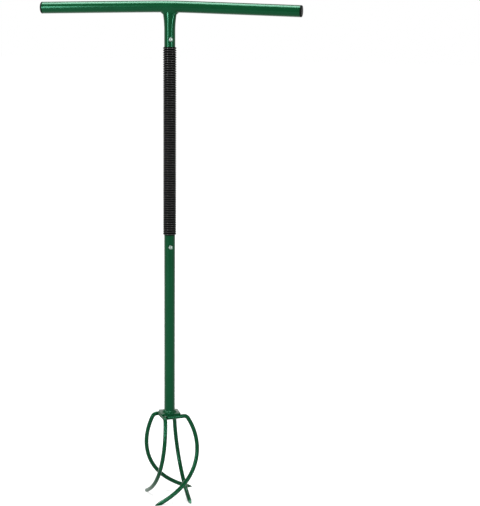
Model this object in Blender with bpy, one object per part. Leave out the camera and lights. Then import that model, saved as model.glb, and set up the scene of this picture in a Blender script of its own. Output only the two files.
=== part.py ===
"""Garden cultivator: a T-handled hand tiller with a claw of four bent tines.

The tool stands upright on its tips. The origin is on the floor, on the shaft's axis. +Z is up,
+X runs along the handlebar to its right end and -Y is the front, where the snap buttons face.
All lengths are in metres and all angles in degrees.
"""

import math

import bmesh
import bpy
from mathutils import Matrix, Vector

# Handlebar: a straight-armed tube with a gentle bend over the shaft.
HANDLE_LENGTH = 0.496
HANDLE_DIAMETER = 0.022
HANDLE_WALL = 0.0014
HANDLE_ARM_SLOPE = 0.0245
HANDLE_BEND_SPAN = 0.030

# Plastic plugs in the handlebar's ends.
CAP_HEAD_THICKNESS = 0.0032
CAP_RIM_RADIUS = 0.0024
CAP_SHANK_LENGTH = 0.016
CAP_SHANK_CLEARANCE = 0.0003
CAP_SHANK_CHAMFER = 0.0010

# Shaft: stem above, sleeve in the middle, lower tube below, all on one connecting tube.
SHAFT_DIAMETER = 0.0207
SHAFT_WALL = 0.0012
LOWER_TUBE_LENGTH = 0.3428
SLEEVE_LENGTH = 0.352
STEM_LENGTH = 0.0629

# The stem's top end, flattened wide along the handlebar.
STEM_FLARE_WIDTH = 0.0268
STEM_FLARE_INSET = 0.0031
STEM_FLARE_LENGTH = 0.033
STEM_FLARE_POWER = 2.0

# Connecting tube that slides into the stem and into the lower tube.
MIDDLE_TUBE_CLEARANCE = 0.0003
MIDDLE_TUBE_WALL = 0.0010
MIDDLE_TUBE_BELOW_FLARE = 0.002
MIDDLE_TUBE_IN_LOWER = 0.060

# Ribbed rubber sleeve.
SLEEVE_RIB_PITCH = 0.0043
SLEEVE_RIB_DIAMETER = 0.0235
SLEEVE_VALLEY_DIAMETER = 0.0203
SLEEVE_CLEARANCE = 0.0003

# Spring-loaded snap buttons.
BUTTON_DIAMETER = 0.0076
BUTTON_CLEARANCE = 0.0003
BUTTON_PROTRUSION = 0.0030
BUTTON_DOME_HEIGHT = 0.0018
BUTTON_DOME_ANGLE = 80.0
BUTTON_FLANGE_WIDTH = 0.0007
BUTTON_FLANGE_THICKNESS = 0.0007
BUTTON_ANGLE = -66.0
BUTTON_ABOVE_SLEEVE = 0.0142
BUTTON_BELOW_SLEEVE = 0.0227

# Bent leaf springs behind the buttons.
LEAF_THICKNESS = 0.0008
LEAF_WIDTH = 0.0060
LEAF_LEG_LENGTH = 0.030
LEAF_PAST_BUTTON = 0.0055
LEAF_BEND_RADIUS = 0.0018

# Base plate under the lower tube.
PLATE_SIDE = 0.0376
PLATE_THICKNESS = 0.0025
PLATE_CORNER_RADIUS = 0.003
PLATE_ANGLE = 24.0

# Tines: one round rod each, laid along a side of a square, bent down and swept back under.
# A heading is a rod's slant from straight down, positive outwards.
ROD_DIAMETER = 0.0080
TINE_SQUARE_ANGLE = 32.2
TINE_EDGE_INSET = 0.0013
TINE_BEND_PAST_PLATE = 0.0028
TINE_BEND_RADIUS = 0.0095
TINE_LEG_HEADING = 25.9
TINE_TIP_HEADING = -68.7
TINE_SWEEP_LENGTH = 0.2073
TINE_SWEEP_EARLY = 0.387
TINE_SWEEP_EASE = 0.488

# Each rod's end is ground from above to a chisel point.
TINE_POINT_LENGTH = 0.013
TINE_POINT_THICKNESS = 0.0012
TINE_POINT_WIDTH = 0.0030
TINE_POINT_DROP = 0.5

# The rods are bent and welded by hand, so each one leans outwards, turns, opens and reaches a
# little differently. Clockwise from the right: name, lean, turn, opening, extra length and how
# much further out its bend starts.
TINES = (
    ("tine_right", 9.6, 4.8, 3.8, 0.0013, 0.0017),
    ("tine_front", 6.8, -3.2, 1.9, -0.0003, 0.0012),
    ("tine_left", 8.0, 1.1, -3.1, -0.0001, -0.0016),
    ("tine_back", 5.8, -7.9, -2.4, -0.0008, -0.0012),
)

# Weld beads.
HANDLE_WELD_ALONG = 0.0042
HANDLE_WELD_ACROSS = 0.0018
HANDLE_WELD_DOWN = 0.0036
SHAFT_WELD_OUT = 0.0046
SHAFT_WELD_UP = 0.0040
TINE_WELD_WIDTH = 0.0022
TINE_WELD_DEPTH = 0.0022
TINE_WELD_END_CLEARANCE = 0.0025

# Pieces that touch keep this gap, so that no two solids overlap.
SEAT_GAP = 0.0003

# Facets round the pieces and steps along their curves.
TUBE_SIDES = 28
SLEEVE_SIDES = 12
ROD_SIDES = 10
BUTTON_SIDES = 16
HANDLE_BEND_STEPS = 6
HANDLE_BEND_ANGLE = 72.0
CAP_RIM_STEPS = 4
STEM_FLARE_STEPS = 7
DOME_STEPS = 4
LEAF_BEND_STEPS = 6
CORNER_STEPS = 3
TINE_BEND_STEPS = 6
TINE_SWEEP_STEPS = 22
WELD_STEPS = 3

# Faces that meet at less than this angle are shaded as one surface.
SMOOTH_ANGLE = 35.0
RIB_SMOOTH_ANGLE = 20.0
WELD_SMOOTH_ANGLE = 60.0

# Finishes: colour, roughness and metallic value.
GREEN_PAINT = ((0.006, 0.105, 0.048), 0.22, 0.0)
BLACK_RUBBER = ((0.012, 0.012, 0.012), 0.55, 0.0)
BLACK_PLASTIC = ((0.010, 0.013, 0.011), 0.35, 0.0)
BARE_STEEL = ((0.55, 0.55, 0.53), 0.30, 1.0)

# Radii and offsets that follow from the sizes above.
HANDLE_RADIUS = HANDLE_DIAMETER / 2
SHAFT_RADIUS = SHAFT_DIAMETER / 2
SHAFT_BORE_RADIUS = SHAFT_RADIUS - SHAFT_WALL
MIDDLE_RADIUS = SHAFT_BORE_RADIUS - MIDDLE_TUBE_CLEARANCE
MIDDLE_BORE_RADIUS = MIDDLE_RADIUS - MIDDLE_TUBE_WALL
BUTTON_RADIUS = BUTTON_DIAMETER / 2
BUTTON_TIP = SHAFT_RADIUS + BUTTON_PROTRUSION
FLANGE_RADIUS = BUTTON_RADIUS + BUTTON_FLANGE_WIDTH
FLANGE_TOP = math.sqrt(MIDDLE_BORE_RADIUS ** 2 - FLANGE_RADIUS ** 2) - SEAT_GAP
FLANGE_BOTTOM = FLANGE_TOP - BUTTON_FLANGE_THICKNESS
LEAF_AT_BUTTON = FLANGE_BOTTOM - SEAT_GAP - LEAF_THICKNESS / 2
LEAF_EDGE_ON_WALL = math.sqrt(MIDDLE_BORE_RADIUS ** 2 - (LEAF_WIDTH / 2) ** 2)
LEAF_AT_WALL = LEAF_EDGE_ON_WALL - SEAT_GAP - LEAF_THICKNESS / 2
ROD_RADIUS = ROD_DIAMETER / 2
TINE_SIDE_OFFSET = PLATE_SIDE / 2 - TINE_EDGE_INSET
TINE_BEND_START = PLATE_SIDE / 2 + TINE_BEND_PAST_PLATE


def tine_frame(index, lean):
    """Local X runs out along a rod's level run from where its bend starts, local Z is up.

    Heights are measured from the level of the rods' runs.
    """
    turn, bend_further_out = TINES[index][2], TINES[index][5]
    angle = math.radians(TINE_SQUARE_ANGLE - index * 360.0 / len(TINES))
    along = Vector((math.cos(angle), math.sin(angle), 0.0))
    outward = Vector((math.sin(angle), -math.cos(angle), 0.0))
    start = along * (TINE_BEND_START + bend_further_out) + outward * TINE_SIDE_OFFSET
    spin = Matrix.Rotation(angle + math.radians(turn), 4, "Z")
    tip = Matrix.Rotation(-math.radians(lean), 4, "X")
    return Matrix.Translation(start) @ spin @ tip


def back_to_crossing(index, other_index, half_width):
    """How far back along a rod's run another one crosses it, and half the stretch it takes there.

    The stretch is measured square to the other run, which is half_width wide to each side.
    """
    own = tine_frame(index, 0.0)
    other = tine_frame(other_index, 0.0)
    back = -(own.to_3x3() @ Vector((1.0, 0.0, 0.0)))
    line = other.to_3x3() @ Vector((1.0, 0.0, 0.0))
    between = other.translation - own.translation
    crossing = back.x * line.y - back.y * line.x
    distance = (between.x * line.y - between.y * line.x) / crossing
    slant = abs(back.dot(line))
    return distance, (half_width + ROD_RADIUS * slant) / abs(crossing)


def tine_run_length(index):
    """Length of a rod's level run, which ends square against the side of the next rod."""
    distance, stretch = back_to_crossing(index, (index + 1) % len(TINES), ROD_RADIUS + SEAT_GAP)
    return distance - stretch


def tine_heading(share, leg_heading):
    """The rod's heading after a share of its sweep: quick in the middle and slow at the tip."""
    ease = TINE_SWEEP_EARLY - TINE_SWEEP_EASE * (1.0 - 2.0 * share)
    return leg_heading + (TINE_TIP_HEADING - leg_heading) * (share + share * (1.0 - share) * ease)


def tine_path(index):
    """Points (distance out, height, heading) from the inner end of a rod to its tip."""
    opening, extra_length = TINES[index][3:5]
    leg_heading = TINE_LEG_HEADING + opening
    stations = [(-tine_run_length(index), 0.0, 90.0)]
    for i in range(TINE_BEND_STEPS + 1):
        heading = 90.0 + (leg_heading - 90.0) * i / TINE_BEND_STEPS
        out = TINE_BEND_RADIUS * math.cos(math.radians(heading))
        down = TINE_BEND_RADIUS * (1.0 - math.sin(math.radians(heading)))
        stations.append((out, -down, heading))
    out, height, heading = stations[-1]
    step = (TINE_SWEEP_LENGTH + extra_length) / TINE_SWEEP_STEPS
    for i in range(TINE_SWEEP_STEPS):
        middle = math.radians(tine_heading((i + 0.5) / TINE_SWEEP_STEPS, leg_heading))
        out += step * math.sin(middle)
        height -= step * math.cos(middle)
        stations.append((out, height, tine_heading((i + 1) / TINE_SWEEP_STEPS, leg_heading)))
    return stations


def tine_rings(index):
    """Rings of points round a rod, which narrow to the chisel point at its end."""
    stations = tine_path(index)
    step = (TINE_SWEEP_LENGTH + TINES[index][4]) / TINE_SWEEP_STEPS
    side = Vector((0.0, 1.0, 0.0))
    rings = []
    for place, (out, height, heading) in enumerate(stations):
        slant = math.radians(heading)
        inner = side.cross(Vector((math.sin(slant), 0.0, -math.cos(slant))))
        from_tip = (len(stations) - 1 - place) * step
        share = max(0.0, 1.0 - from_tip / TINE_POINT_LENGTH)
        thick = ROD_RADIUS + share * (TINE_POINT_THICKNESS / 2 - ROD_RADIUS)
        wide = ROD_RADIUS + share * (TINE_POINT_WIDTH / 2 - ROD_RADIUS)
        centre = Vector((out, 0.0, height)) + inner * (ROD_RADIUS - thick) * TINE_POINT_DROP
        ring = []
        for i in range(ROD_SIDES):
            angle = 2 * math.pi * (i + 0.5) / ROD_SIDES
            ring.append(centre + side * wide * math.cos(angle) + inner * thick * math.sin(angle))
        rings.append(ring)
    return rings


def claw_depth():
    """How far the lowest tip lies below the level of the rods' runs."""
    depth = 0.0
    for index, tine in enumerate(TINES):
        frame = tine_frame(index, tine[1])
        for ring in tine_rings(index):
            for point in ring:
                depth = max(depth, -(frame @ point).z)
    return depth


# Heights, from the tips on the floor up to the handlebar.
ROD_AXIS_Z = claw_depth()
PLATE_BOTTOM_Z = ROD_AXIS_Z + ROD_RADIUS + SEAT_GAP
PLATE_TOP_Z = PLATE_BOTTOM_Z + PLATE_THICKNESS
LOWER_TUBE_BOTTOM_Z = PLATE_TOP_Z + SEAT_GAP
LOWER_TUBE_TOP_Z = LOWER_TUBE_BOTTOM_Z + LOWER_TUBE_LENGTH
SLEEVE_BOTTOM_Z = LOWER_TUBE_TOP_Z + SEAT_GAP
SLEEVE_TOP_Z = SLEEVE_BOTTOM_Z + SLEEVE_LENGTH
STEM_BOTTOM_Z = SLEEVE_TOP_Z + SEAT_GAP
HANDLE_UNDERSIDE_Z = STEM_BOTTOM_Z + STEM_LENGTH
HANDLE_AXIS_Z = HANDLE_UNDERSIDE_Z + HANDLE_RADIUS
FLARE_BOTTOM_Z = HANDLE_UNDERSIDE_Z - STEM_FLARE_LENGTH
MIDDLE_TUBE_BOTTOM_Z = SLEEVE_BOTTOM_Z - MIDDLE_TUBE_IN_LOWER
MIDDLE_TUBE_TOP_Z = FLARE_BOTTOM_Z - MIDDLE_TUBE_BELOW_FLARE
UPPER_BUTTON_Z = SLEEVE_TOP_Z + BUTTON_ABOVE_SLEEVE
LOWER_BUTTON_Z = SLEEVE_BOTTOM_Z - BUTTON_BELOW_SLEEVE


def clear_scene():
    for old in list(bpy.data.objects):
        bpy.data.objects.remove(old, do_unlink=True)


def make_material(name, finish):
    color, roughness, metallic = finish
    material = bpy.data.materials.new(name)
    material.use_nodes = True
    shader = material.node_tree.nodes["Principled BSDF"]
    shader.inputs["Base Color"].default_value = (*color, 1.0)
    shader.inputs["Roughness"].default_value = roughness
    shader.inputs["Metallic"].default_value = metallic
    return material


def loft(rings, closed=False):
    """Join rings of equal length into one closed mesh.

    An open loft gets a flat face on each end. A closed one runs back to its first ring, which
    makes a hollow tube or a bead round a joint.
    """
    mesh = bmesh.new()
    rows = []
    for ring in rings:
        rows.append([mesh.verts.new(point) for point in ring])
    count = len(rings[0])
    last = len(rows) if closed else len(rows) - 1
    for i in range(last):
        lower = rows[i]
        upper = rows[(i + 1) % len(rows)]
        for j in range(count):
            k = (j + 1) % count
            mesh.faces.new((lower[j], lower[k], upper[k], upper[j]))
    if not closed:
        mesh.faces.new(list(reversed(rows[0])))
        mesh.faces.new(rows[-1])
    bmesh.ops.recalc_face_normals(mesh, faces=mesh.faces)
    return mesh


def add_object(name, mesh, finish, matrix=None, smooth_angle=SMOOTH_ANGLE):
    data = bpy.data.meshes.new(name)
    mesh.to_mesh(data)
    mesh.free()
    data.materials.append(make_material(name + "_finish", finish))
    data.shade_smooth()
    data.set_sharp_from_angle(angle=math.radians(smooth_angle))
    piece = bpy.data.objects.new(name, data)
    bpy.context.collection.objects.link(piece)
    if matrix is not None:
        piece.matrix_world = matrix
    return piece


def circle(radius, sides, height):
    """A level ring about the Z axis."""
    points = []
    for i in range(sides):
        angle = 2 * math.pi * i / sides
        points.append(Vector((radius * math.cos(angle), radius * math.sin(angle), height)))
    return points


def turned(profile, sides, closed=False):
    """A shape turned about Z from (radius, height) pairs."""
    return loft([circle(radius, sides, height) for radius, height in profile], closed)


def tube_profile(outer, inner, bottom, top):
    return [(outer, bottom), (outer, top), (inner, top), (inner, bottom)]


def fillet_profile(out, depth):
    """(distance out, depth) pairs down a hollow fillet, from its rim to its toe."""
    points = []
    for i in range(WELD_STEPS + 1):
        angle = math.pi / 2 * i / WELD_STEPS
        points.append((out * (1.0 - math.sin(angle)), depth * (1.0 - math.cos(angle))))
    return points


def button_frame(height):
    """Local Z points out of the shaft along a button, local X points up the shaft."""
    angle = math.radians(BUTTON_ANGLE)
    out = Vector((math.cos(angle), math.sin(angle), 0.0))
    up = Vector((0.0, 0.0, 1.0))
    columns = Matrix((up, out.cross(up), out)).transposed()
    return Matrix.Translation((0.0, 0.0, height)) @ columns.to_4x4()


def cut(piece, cutter):
    """Take the cutter's shape out of a piece."""
    cutter.hide_render = True
    cutter.display_type = "WIRE"
    modifier = piece.modifiers.new(cutter.name, "BOOLEAN")
    modifier.operation = "DIFFERENCE"
    modifier.solver = "EXACT"
    modifier.object = cutter


def cut_button_hole(piece, height, which):
    """A round hole through one wall of a tube, for a snap button."""
    radius = BUTTON_RADIUS + BUTTON_CLEARANCE
    mesh = turned([(radius, 0.0), (radius, SHAFT_DIAMETER)], BUTTON_SIDES * 2)
    name = which + "_hole_in_" + piece.name
    cut(piece, add_object(name, mesh, BARE_STEEL, button_frame(height)))


def handle_point(x):
    """The handlebar's centre line: straight arms that droop a little from a soft bend."""
    droop = math.sqrt(x * x + HANDLE_BEND_SPAN ** 2) - HANDLE_BEND_SPAN
    return Vector((x, 0.0, HANDLE_AXIS_Z - HANDLE_ARM_SLOPE * droop))


def handle_direction(x):
    slope = -HANDLE_ARM_SLOPE * x / math.sqrt(x * x + HANDLE_BEND_SPAN ** 2)
    return Vector((1.0, 0.0, slope)).normalized()


def handle_ring(x, radius):
    side = Vector((0.0, 1.0, 0.0))
    up = handle_direction(x).cross(side)
    points = []
    for i in range(TUBE_SIDES):
        angle = 2 * math.pi * i / TUBE_SIDES
        points.append(handle_point(x) + radius * (math.cos(angle) * side + math.sin(angle) * up))
    return points


def make_handlebar():
    """The bar's stations lie close together in the bend, at equal steps of its direction."""
    half = []
    for i in range(1, HANDLE_BEND_STEPS + 1):
        angle = math.radians(HANDLE_BEND_ANGLE) * i / HANDLE_BEND_STEPS
        half.append(HANDLE_BEND_SPAN * math.tan(angle))
    half.append(HANDLE_LENGTH / 2 - CAP_HEAD_THICKNESS - SEAT_GAP)
    stations = [-x for x in reversed(half)] + [0.0] + half
    outer = [handle_ring(x, HANDLE_RADIUS) for x in stations]
    inner = [handle_ring(x, HANDLE_RADIUS - HANDLE_WALL) for x in reversed(stations)]
    add_object("handlebar", loft(outer + inner, closed=True), GREEN_PAINT)


def make_end_cap(name, side):
    """A plug with a rounded head, turned about its own Z axis, which points out of the bar."""
    head = HANDLE_RADIUS
    shank = HANDLE_RADIUS - HANDLE_WALL - CAP_SHANK_CLEARANCE
    profile = [
        (shank - CAP_SHANK_CHAMFER, -CAP_SHANK_LENGTH),
        (shank, CAP_SHANK_CHAMFER - CAP_SHANK_LENGTH),
        (shank, 0.0),
        (head, 0.0),
    ]
    for i in range(CAP_RIM_STEPS + 1):
        angle = math.pi / 2 * i / CAP_RIM_STEPS
        radius = head - CAP_RIM_RADIUS * (1.0 - math.cos(angle))
        height = CAP_HEAD_THICKNESS - CAP_RIM_RADIUS * (1.0 - math.sin(angle))
        profile.append((radius, height))
    seat = side * (HANDLE_LENGTH / 2 - CAP_HEAD_THICKNESS)
    out = side * handle_direction(seat)
    across = Vector((0.0, 1.0, 0.0))
    columns = Matrix((across.cross(out), across, out)).transposed()
    place = Matrix.Translation(handle_point(seat)) @ columns.to_4x4()
    add_object(name, turned(profile, TUBE_SIDES), BLACK_PLASTIC, place)


def stem_size(height, wall):
    """Half width along the bar and half depth across it, at a height on the stem."""
    share = min(max((height - FLARE_BOTTOM_Z) / STEM_FLARE_LENGTH, 0.0), 1.0) ** STEM_FLARE_POWER
    width = SHAFT_RADIUS + share * (STEM_FLARE_WIDTH / 2 - SHAFT_RADIUS)
    depth = SHAFT_RADIUS + share * (HANDLE_RADIUS - STEM_FLARE_INSET - SHAFT_RADIUS)
    return width - wall, depth - wall


def stem_ring(height, wall):
    width, depth = stem_size(height, wall)
    points = []
    for i in range(TUBE_SIDES):
        angle = 2 * math.pi * i / TUBE_SIDES
        points.append(Vector((width * math.cos(angle), depth * math.sin(angle), height)))
    return points


def make_handle_stem():
    """The short tube under the bar, its top flattened wide and cut to the bar's curve."""
    heights = [STEM_BOTTOM_Z]
    for i in range(STEM_FLARE_STEPS + 1):
        heights.append(FLARE_BOTTOM_Z + STEM_FLARE_LENGTH * i / STEM_FLARE_STEPS)
    heights.append(HANDLE_AXIS_Z)
    outer = [stem_ring(height, 0.0) for height in heights]
    inner = [stem_ring(height, SHAFT_WALL) for height in reversed(heights)]
    stem = add_object("handle_stem", loft(outer + inner, closed=True), GREEN_PAINT)
    reach = STEM_FLARE_WIDTH
    stations = (-reach, -reach / 2, 0.0, reach / 2, reach)
    saddle = [handle_ring(x, HANDLE_RADIUS + SEAT_GAP) for x in stations]
    cut(stem, add_object("saddle_in_handle_stem", loft(saddle), BARE_STEEL))
    cut_button_hole(stem, UPPER_BUTTON_Z, "upper")


def under_bar(point):
    """The given place, raised until it lies just below the handlebar."""
    radius = HANDLE_RADIUS + SEAT_GAP
    height = handle_point(point.x).z - math.sqrt(radius ** 2 - point.y ** 2)
    return Vector((point.x, point.y, height))


def make_handle_weld():
    """A fillet that follows the saddle between the stem and the bar."""
    width, depth = stem_size(HANDLE_AXIS_Z, 0.0)
    rings = []
    for i in range(TUBE_SIDES):
        angle = 2 * math.pi * i / TUBE_SIDES
        flat = Vector((width * math.cos(angle), depth * math.sin(angle), 0.0))
        normal = Vector((depth * math.cos(angle), width * math.sin(angle), 0.0)).normalized()
        along = abs(math.cos(angle))
        reach = HANDLE_WELD_ACROSS + (HANDLE_WELD_ALONG - HANDLE_WELD_ACROSS) * along
        ring = []
        for out, down in fillet_profile(reach, HANDLE_WELD_DOWN):
            rim = under_bar(flat + normal * (SEAT_GAP + out))
            ring.append(rim - Vector((0.0, 0.0, down)))
        ring.append(under_bar(flat + normal * SEAT_GAP))
        ring.append(under_bar(flat + normal * (SEAT_GAP + reach / 2)))
        rings.append(ring)
    mesh = loft(rings, closed=True)
    add_object("handle_weld", mesh, GREEN_PAINT, smooth_angle=WELD_SMOOTH_ANGLE)


def make_middle_tube():
    ends = (MIDDLE_TUBE_BOTTOM_Z, MIDDLE_TUBE_TOP_Z)
    profile = tube_profile(MIDDLE_RADIUS, MIDDLE_BORE_RADIUS, *ends)
    tube = add_object("middle_tube", turned(profile, TUBE_SIDES, closed=True), BARE_STEEL)
    cut_button_hole(tube, UPPER_BUTTON_Z, "upper")
    cut_button_hole(tube, LOWER_BUTTON_Z, "lower")


def make_grip_sleeve():
    """The sleeve's ribs: each has a valley and a crest, over a plain bore."""
    ribs = round(SLEEVE_LENGTH / SLEEVE_RIB_PITCH)
    pitch = SLEEVE_LENGTH / ribs
    bore = (MIDDLE_RADIUS + SLEEVE_CLEARANCE) / math.cos(math.pi / SLEEVE_SIDES)
    profile = []
    for i in range(ribs):
        start = SLEEVE_BOTTOM_Z + i * pitch
        profile.append((SLEEVE_VALLEY_DIAMETER / 2, start))
        profile.append((SLEEVE_RIB_DIAMETER / 2, start + pitch / 2))
    profile.append((SLEEVE_VALLEY_DIAMETER / 2, SLEEVE_TOP_Z))
    profile.append((bore, SLEEVE_TOP_Z))
    profile.append((bore, SLEEVE_BOTTOM_Z))
    mesh = turned(profile, SLEEVE_SIDES, closed=True)
    add_object("grip_sleeve", mesh, BLACK_RUBBER, smooth_angle=RIB_SMOOTH_ANGLE)


def make_snap_button(name, height):
    """A domed pin with a flange that stops it inside the connecting tube."""
    profile = [
        (FLANGE_RADIUS, FLANGE_BOTTOM),
        (FLANGE_RADIUS, FLANGE_TOP),
        (BUTTON_RADIUS, FLANGE_TOP),
    ]
    for i in range(DOME_STEPS + 1):
        angle = math.radians(BUTTON_DOME_ANGLE) * i / DOME_STEPS
        sunk = BUTTON_DOME_HEIGHT * (1.0 - math.sin(angle))
        profile.append((BUTTON_RADIUS * math.cos(angle), BUTTON_TIP - sunk))
    add_object(name, turned(profile, BUTTON_SIDES), BARE_STEEL, button_frame(height))


def make_leaf_spring(name, height):
    """A V-shaped leaf: one leg behind the button, the other against the far wall."""
    path = [(LEAF_PAST_BUTTON, LEAF_AT_BUTTON), (-LEAF_PAST_BUTTON, LEAF_AT_BUTTON)]
    for i in range(LEAF_BEND_STEPS + 1):
        angle = math.pi * i / LEAF_BEND_STEPS
        along = -LEAF_LEG_LENGTH - LEAF_BEND_RADIUS * math.sin(angle)
        path.append((along, LEAF_BEND_RADIUS * math.cos(angle)))
    path += [(-LEAF_PAST_BUTTON, -LEAF_AT_WALL), (LEAF_PAST_BUTTON, -LEAF_AT_WALL)]
    points = [Vector((along, 0.0, out)) for along, out in path]
    side = Vector((0.0, 1.0, 0.0))
    half = LEAF_THICKNESS / 2
    wide = LEAF_WIDTH / 2
    rings = []
    for i, point in enumerate(points):
        ahead = points[min(i + 1, len(points) - 1)]
        behind = points[max(i - 1, 0)]
        normal = (ahead - behind).normalized().cross(side)
        corners = ((-wide, -half), (wide, -half), (wide, half), (-wide, half))
        rings.append([point + side * a + normal * b for a, b in corners])
    add_object(name, loft(rings), BARE_STEEL, button_frame(height))


def make_lower_tube():
    ends = (LOWER_TUBE_BOTTOM_Z, LOWER_TUBE_TOP_Z)
    profile = tube_profile(SHAFT_RADIUS, SHAFT_BORE_RADIUS, *ends)
    tube = add_object("lower_tube", turned(profile, TUBE_SIDES, closed=True), GREEN_PAINT)
    cut_button_hole(tube, LOWER_BUTTON_Z, "lower")


def make_shaft_weld():
    """A fillet round the foot of the lower tube."""
    root = SHAFT_RADIUS + SEAT_GAP
    foot = PLATE_TOP_Z + SEAT_GAP
    profile = [(root + out, foot + up) for out, up in fillet_profile(SHAFT_WELD_OUT, SHAFT_WELD_UP)]
    profile.append((root, foot))
    mesh = turned(profile, TUBE_SIDES, closed=True)
    add_object("shaft_weld", mesh, GREEN_PAINT, smooth_angle=WELD_SMOOTH_ANGLE)


def make_base_plate():
    """A square plate with small round corners."""
    inset = PLATE_SIDE / 2 - PLATE_CORNER_RADIUS
    outline = []
    for quarter, (x, y) in enumerate(((1, 1), (-1, 1), (-1, -1), (1, -1))):
        for i in range(CORNER_STEPS + 1):
            angle = math.pi / 2 * (quarter + i / CORNER_STEPS)
            outline.append((x * inset + PLATE_CORNER_RADIUS * math.cos(angle),
                            y * inset + PLATE_CORNER_RADIUS * math.sin(angle)))
    rings = []
    for height in (PLATE_BOTTOM_Z, PLATE_TOP_Z):
        rings.append([Vector((x, y, height)) for x, y in outline])
    turn = Matrix.Rotation(math.radians(PLATE_ANGLE), 4, "Z")
    add_object("base_plate", loft(rings), GREEN_PAINT, turn)


def place_on_claw(index, lean):
    return Matrix.Translation((0.0, 0.0, ROD_AXIS_Z)) @ tine_frame(index, lean)


def make_tine(index):
    name, lean = TINES[index][:2]
    add_object(name, loft(tine_rings(index)), GREEN_PAINT, place_on_claw(index, lean))


def make_tine_weld(index):
    """A fillet between the plate's underside and the inner side of a rod's run.

    It runs from the rod that ends against this one to the fillet of the rod that this one meets.
    """
    count = len(TINES)
    width = ROD_RADIUS + TINE_WELD_WIDTH
    clear = TINE_WELD_END_CLEARANCE
    near, near_half = back_to_crossing(index, (index - 1) % count, ROD_RADIUS + clear)
    far, far_half = back_to_crossing(index, (index + 1) % count, width + clear)
    reach = ROD_RADIUS + SEAT_GAP
    top = ROD_RADIUS
    foot_height = top - TINE_WELD_DEPTH
    root = math.sqrt(reach ** 2 - top ** 2) + SEAT_GAP
    foot = math.sqrt(reach ** 2 - foot_height ** 2) + SEAT_GAP
    section = ((root, top), (foot, foot_height), (width, top - SEAT_GAP), (width, top))
    rings = []
    for along in (far_half - far, -near - near_half):
        rings.append([Vector((along, across, height)) for across, height in section])
    add_object(TINES[index][0] + "_weld", loft(rings), GREEN_PAINT, place_on_claw(index, 0.0))


def main():
    clear_scene()
    make_handlebar()
    make_end_cap("handlebar_end_cap_left", -1)
    make_end_cap("handlebar_end_cap_right", 1)
    make_handle_stem()
    make_handle_weld()
    make_middle_tube()
    make_grip_sleeve()
    make_snap_button("upper_snap_button", UPPER_BUTTON_Z)
    make_leaf_spring("upper_button_spring", UPPER_BUTTON_Z)
    make_snap_button("lower_snap_button", LOWER_BUTTON_Z)
    make_leaf_spring("lower_button_spring", LOWER_BUTTON_Z)
    make_lower_tube()
    make_shaft_weld()
    make_base_plate()
    for index in range(len(TINES)):
        make_tine(index)
        make_tine_weld(index)


main()
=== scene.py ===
"""Garden cultivator: the pieces that show, their finishes, the studio and the camera.

A T-handled hand tiller: a green handlebar on a shaft with a ribbed black sleeve, over a claw of
four bent tines. It stands upright on its tips. Lengths are in metres. +Z is up, +X runs along the
handlebar to its right end and -Y is the front, where the snap buttons face.
"""

import math
from collections import namedtuple

import bmesh
import bpy
from bpy.props import FloatProperty, FloatVectorProperty, IntProperty, PointerProperty
from mathutils import Euler, Matrix, Vector, noise


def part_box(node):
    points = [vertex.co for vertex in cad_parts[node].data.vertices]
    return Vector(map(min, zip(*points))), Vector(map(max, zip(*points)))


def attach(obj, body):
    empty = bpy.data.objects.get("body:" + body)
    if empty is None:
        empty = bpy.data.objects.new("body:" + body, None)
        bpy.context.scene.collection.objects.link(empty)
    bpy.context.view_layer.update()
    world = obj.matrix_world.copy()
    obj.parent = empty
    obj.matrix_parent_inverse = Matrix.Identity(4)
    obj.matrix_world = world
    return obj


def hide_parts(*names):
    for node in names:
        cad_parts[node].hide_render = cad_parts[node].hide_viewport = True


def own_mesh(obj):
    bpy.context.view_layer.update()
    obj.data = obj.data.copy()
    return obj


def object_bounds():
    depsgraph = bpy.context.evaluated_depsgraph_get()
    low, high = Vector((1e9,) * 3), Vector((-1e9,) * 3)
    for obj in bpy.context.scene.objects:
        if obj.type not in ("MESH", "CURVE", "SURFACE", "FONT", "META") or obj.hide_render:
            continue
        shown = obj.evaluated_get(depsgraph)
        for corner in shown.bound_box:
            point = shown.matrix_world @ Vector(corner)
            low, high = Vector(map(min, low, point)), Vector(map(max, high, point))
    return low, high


bl_info = {
    "name": "Garden Cultivator",
    "version": (1, 0, 0),
    "blender": (4, 5, 0),
    "location": "View3D > Sidebar > Cultivator",
    "description": "Builds a T-handled garden cultivator with a claw of four bent tines",
    "category": "Add Mesh",
}

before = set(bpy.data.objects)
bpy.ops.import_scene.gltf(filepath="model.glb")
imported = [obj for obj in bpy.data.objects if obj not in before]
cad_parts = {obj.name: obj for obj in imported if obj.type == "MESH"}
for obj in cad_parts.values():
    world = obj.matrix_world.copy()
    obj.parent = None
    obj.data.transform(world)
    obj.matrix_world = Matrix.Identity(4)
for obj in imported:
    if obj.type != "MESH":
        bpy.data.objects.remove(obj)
CAD_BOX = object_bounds()

# Pieces that touch keep this gap in the frame.
SEAT_GAP = 0.0003

# The rods are bent and welded by hand, so each one leans outwards, turns, opens and reaches a
# little differently. Clockwise from the right. The angles are in degrees, extra_length is added
# to the sweep, and further_out says how much further out the bend starts.
Rod = namedtuple("Rod", "name lean turn opening extra_length further_out")
RODS = (
    Rod("right", 9.6, 4.8, 3.8, 0.0013, 0.0017),
    Rod("front", 6.8, -3.2, 1.9, -0.0003, 0.0012),
    Rod("left", 8.0, 1.1, -3.1, -0.0001, -0.0016),
    Rod("back", 5.8, -7.9, -2.4, -0.0008, -0.0012),
)

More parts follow.
